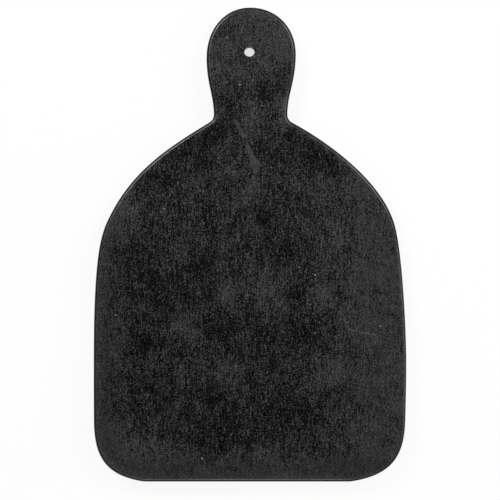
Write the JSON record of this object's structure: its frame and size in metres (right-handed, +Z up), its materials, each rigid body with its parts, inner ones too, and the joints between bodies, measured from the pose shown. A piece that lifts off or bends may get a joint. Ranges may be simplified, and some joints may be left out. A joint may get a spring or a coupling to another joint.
{
  "type": "marble serving board",
  "caption": "Paddle-shaped serving board cut from one honed black marble slab, with a rounded arris, a hanging hole in the handle and stick-on bumper feet underneath.",
  "frame": {"origin": "on the table that the feet stand on, under the middle of the board's bounding box", "axes": "+Z up out of the serving face, +Y along the board towards the handle's end, +X to the right seen from above with the handle pointing away"},
  "size_m": [0.2514, 0.381, 0.0157],
  "materials": {
    "honed_marble": "honed",
    "clear_silicone": "satin",
    "adhesive_film": "matte"
  },
  "bodies": {
    "root": {"marble_board": "honed_marble", "bumper_foot_lower_left": "clear_silicone", "bumper_foot_lower_right": "clear_silicone", "bumper_foot_upper_left": "clear_silicone", "bumper_foot_upper_right": "clear_silicone", "adhesive_disc_lower_left": "adhesive_film", "adhesive_disc_lower_right": "adhesive_film", "adhesive_disc_upper_left": "adhesive_film", "adhesive_disc_upper_right": "adhesive_film"}
  },
  "joints": []
}
